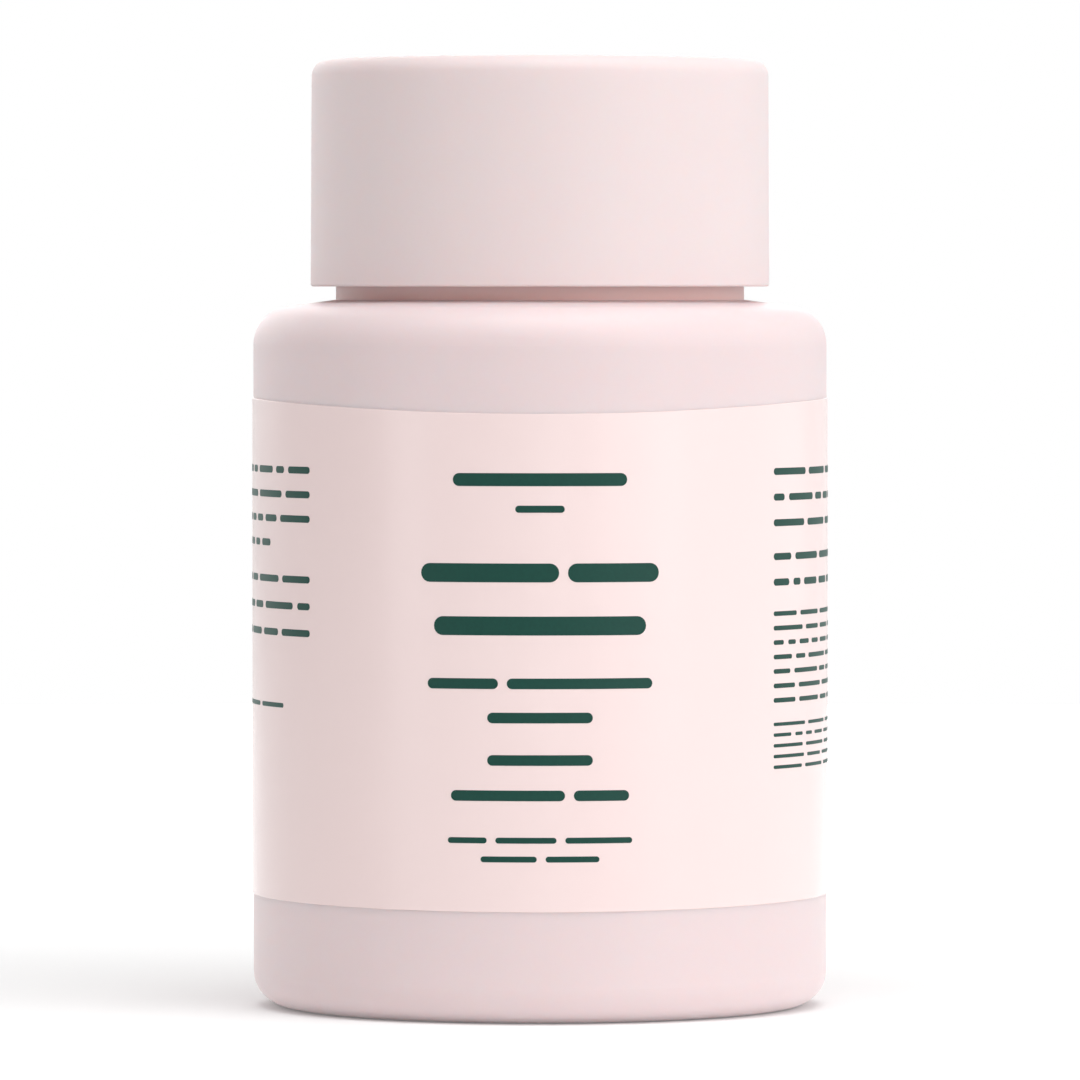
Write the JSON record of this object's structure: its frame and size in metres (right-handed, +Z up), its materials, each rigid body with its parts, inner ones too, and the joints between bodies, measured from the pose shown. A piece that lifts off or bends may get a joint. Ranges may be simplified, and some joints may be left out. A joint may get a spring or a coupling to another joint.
{
  "type": "nail polish remover sponge jar",
  "caption": "Round screw-capped plastic jar holding a foam sponge with a finger hole, for dip-in nail polish remover; the cap unscrews and lifts off.",
  "frame": {"origin": "centre of the jar's foot, on the surface that the jar stands on", "axes": "+Z up along the jar's axis; the front of the label faces -Y; +X to the viewer's right"},
  "size_m": [0.0502, 0.0502, 0.0824],
  "materials": {
    "jar": "semi-gloss moulded pink plastic",
    "label": "satin film",
    "foam": "open-cell foam",
    "cap": "satin moulded pink plastic",
    "closure": "plain moulded white plastic",
    "liner": "foamed sealing disc"
  },
  "bodies": {
    "jar": {"jar_body": "jar", "wrap_label": "label", "finger_sponge": "foam"},
    "liner": {"sealing_liner": "liner"},
    "cap": {"cap_shell": "cap", "threaded_closure": "closure"}
  },
  "joints": [
    {"name": "cap_lift", "type": "slide", "parent": "jar", "child": "liner", "axis": [0, 0, 1], "range_m": [0, 0.0295]},
    {"name": "cap_turn", "type": "hinge", "parent": "liner", "child": "cap", "pos_m": [0, 0, 0.0775], "axis": [0, 0, 1], "range_deg": [0, 2520]}
  ],
  "couplings": [
    {"joint": "cap_lift", "follows": "cap_turn", "m_per_rad": 0.00066845}
  ]
}
